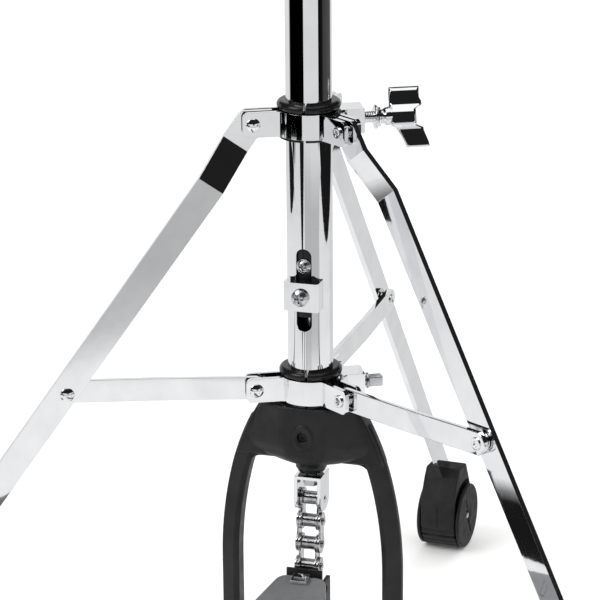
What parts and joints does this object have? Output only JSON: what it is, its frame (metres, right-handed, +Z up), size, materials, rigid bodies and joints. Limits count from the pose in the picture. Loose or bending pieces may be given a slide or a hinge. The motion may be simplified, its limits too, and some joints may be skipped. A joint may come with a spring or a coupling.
{
  "type": "hi-hat stand with cymbals",
  "caption": "Chain-drive hi-hat: folding tripod stand with foot pedal, sprung pull rod, clutch and a pair of bronze cymbals.",
  "frame": {"origin": "the tube's axis on the floor", "axes": "+Z up along the tube, -Y towards the pedal's heel, +X to the right of a player who faces the stand"},
  "size_m": [0.4969, 0.6418, 0.985],
  "materials": {
    "cast_black": "satin black powder coat over a die casting",
    "steel": "bright zinc",
    "chrome": "polished chrome plate",
    "nylon": "black moulded nylon, satin",
    "rubber": "black moulded rubber",
    "grey_metal": "cast aluminium, satin grey",
    "felt": "pressed wool felt",
    "bronze": "lathed bronze, brilliant",
    "chain_steel": "nickel plated chain"
  },
  "bodies": {
    "frame": {"frame_casting": "cast_black", "foot_plate": "steel", "foot_plate_screws": "steel", "hub_screw": "steel", "rod_guide_bush": "nylon", "lower_tube": "chrome", "heel_plate": "grey_metal", "heel_pin": "steel", "radius_rods": "steel", "height_clamp": "chrome"},
    "height_wing": {"height_wing_bolt": "chrome"},
    "leg_base": {"lower_collar": "chrome", "lower_bush": "nylon", "lower_collar_bolt": "steel", "brace_pivot_rivets": "chrome"},
    "sliding_collar": {"upper_collar": "chrome", "upper_bush": "nylon", "leg_pivot_rivets": "chrome"},
    "collar_wing": {"collar_wing_bolt": "chrome"},
    "spring_adjuster": {"adjuster_block": "chrome", "adjuster_screw": "steel", "spring_seat": "nylon", "seat_screw": "steel"},
    "pull_rod": {"lower_pull_rod": "steel", "spring": "steel", "spring_collar": "steel", "rod_coupler": "steel", "upper_pull_rod": "steel", "chain_clevis": "chrome", "clevis_nut": "steel"},
    "chain": {"chain_inner_plates": "chain_steel", "chain_outer_plates": "chain_steel", "chain_rollers": "chain_steel", "chain_pins": "chain_steel"},
    "pedal": {"footboard": "grey_metal", "toe_bracket": "cast_black", "toe_clip": "chrome"},
    "mast": {"upper_tube": "chrome", "cymbal_seat": "chrome"},
    "tilt_knob": {"tilt_screw": "chrome"},
    "lower_cymbal": {"tilt_cup": "chrome", "seat_felt": "felt", "bottom_cymbal": "bronze"},
    "clutch": {"clutch_body": "chrome", "clutch_nuts": "chrome", "clutch_felts": "felt", "top_cymbal": "bronze"},
    "clutch_wing": {"clutch_wing_screw": "chrome"},
    "left_leg_set": {"left_leg": "chrome", "left_boot": "rubber", "left_link_rivet": "chrome"},
    "left_brace_bar": {"left_brace": "chrome"},
    "right_leg_set": {"right_leg": "chrome", "right_boot": "rubber", "right_link_rivet": "chrome"},
    "right_brace_bar": {"right_brace": "chrome"},
    "rear_leg_set": {"rear_leg": "chrome", "rear_boot": "rubber", "rear_link_rivet": "chrome"},
    "rear_brace_bar": {"rear_brace": "chrome"}
  },
  "joints": [
    {"name": "leg_swivel", "type": "hinge", "parent": "frame", "child": "leg_base", "pos_m": [0, 0, 0.203], "axis": [0, 0, 1], "range_deg": [-25, 25]},
    {"name": "collar_slide", "type": "slide", "parent": "leg_base", "child": "sliding_collar", "axis": [0, 0, 1], "range_m": [0, 0.1189]},
    {"name": "collar_wing_turn", "type": "hinge", "parent": "sliding_collar", "child": "collar_wing", "pos_m": [0.03595, 0.01753, 0.3557], "axis": [0.8988, 0.4384, 0], "continuous": true},
    {"name": "left_leg_fold", "type": "hinge", "parent": "sliding_collar", "child": "left_leg_set", "pos_m": [-0.02813, -0.01372, 0.3557], "axis": [0.4384, -0.8988, 0], "range_deg": [0, 21.65]},
    {"name": "left_brace_fold", "type": "hinge", "parent": "leg_base", "child": "left_brace_bar", "pos_m": [-0.02813, -0.01372, 0.203], "axis": [-0.4384, 0.8988, 0], "range_deg": [0, 62.52]},
    {"name": "right_leg_fold", "type": "hinge", "parent": "sliding_collar", "child": "right_leg_set", "pos_m": [0.02595, -0.0175, 0.3557], "axis": [0.5592, 0.829, 0], "range_deg": [0, 21.65]},
    {"name": "right_brace_fold", "type": "hinge", "parent": "leg_base", "child": "right_brace_bar", "pos_m": [0.02595, -0.0175, 0.203], "axis": [-0.5592, -0.829, 0], "range_deg": [0, 62.52]},
    {"name": "rear_leg_fold", "type": "hinge", "parent": "sliding_collar", "child": "rear_leg_set", "pos_m": [0.00218, 0.03122, 0.3557], "axis": [-0.9976, 0.0698, 0], "range_deg": [0, 21.65]},
    {"name": "rear_brace_fold", "type": "hinge", "parent": "leg_base", "child": "rear_brace_bar", "pos_m": [0.00218, 0.03122, 0.203], "axis": [0.9976, -0.0698, 0], "range_deg": [0, 62.52]},
    {"name": "rod_slide", "type": "slide", "parent": "frame", "child": "pull_rod", "axis": [0, 0, 1], "range_m": [-0.0245, 0], "stiffness_N_per_m": 1500, "springref_m": 0.035, "deforming": ["spring"]},
    {"name": "chain_swing", "type": "hinge", "parent": "pull_rod", "child": "chain", "pos_m": [0, 0, 0.1344], "axis": [1, 0, 0], "range_deg": [0, 4.53]},
    {"name": "pedal_pivot", "type": "hinge", "parent": "frame", "child": "pedal", "pos_m": [0, -0.285, 0.024], "axis": [1, 0, 0], "range_deg": [-5.18, 0]},
    {"name": "spring_tension_slide", "type": "slide", "parent": "frame", "child": "spring_adjuster", "axis": [0, 0, 1], "range_m": [-0.014, 0.003]},
    {"name": "mast_slide", "type": "slide", "parent": "frame", "child": "mast", "axis": [0, 0, 1], "range_m": [-0.12, 0]},
    {"name": "height_wing_turn", "type": "hinge", "parent": "frame", "child": "height_wing", "pos_m": [0.02427, 0.01184, 0.55], "axis": [-0.4384, 0.8988, 0], "continuous": true},
    {"name": "tilt_screw_turn", "type": "hinge", "parent": "mast", "child": "tilt_knob", "pos_m": [0.0155, 0, 0.78], "axis": [0, 0, 1], "continuous": true},
    {"name": "cymbal_tilt", "type": "hinge", "parent": "mast", "child": "lower_cymbal", "pos_m": [-0.02, 0, 0.7853], "axis": [0, -1, 0], "range_deg": [0, 1.2]},
    {"name": "clutch_slide", "type": "slide", "parent": "pull_rod", "child": "clutch", "axis": [0, 0, 1], "range_m": [0, 0.03]},
    {"name": "clutch_wing_turn", "type": "hinge", "parent": "clutch", "child": "clutch_wing", "pos_m": [0.012, 0, 0.9402], "axis": [1, 0, 0], "continuous": true}
  ],
  "couplings": [
    {"joint": "left_leg_fold", "follows": "collar_slide", "rad_per_m": 3.1707},
    {"joint": "left_brace_fold", "follows": "collar_slide", "rad_per_m": 9.1698},
    {"joint": "right_leg_fold", "follows": "collar_slide", "rad_per_m": 3.1707},
    {"joint": "right_brace_fold", "follows": "collar_slide", "rad_per_m": 9.1698},
    {"joint": "rear_leg_fold", "follows": "collar_slide", "rad_per_m": 3.1707},
    {"joint": "rear_brace_fold", "follows": "collar_slide", "rad_per_m": 9.1698},
    {"joint": "chain_swing", "follows": "rod_slide", "rad_per_m": -3.1946},
    {"joint": "pedal_pivot", "follows": "rod_slide", "rad_per_m": 3.6566}
  ]
}
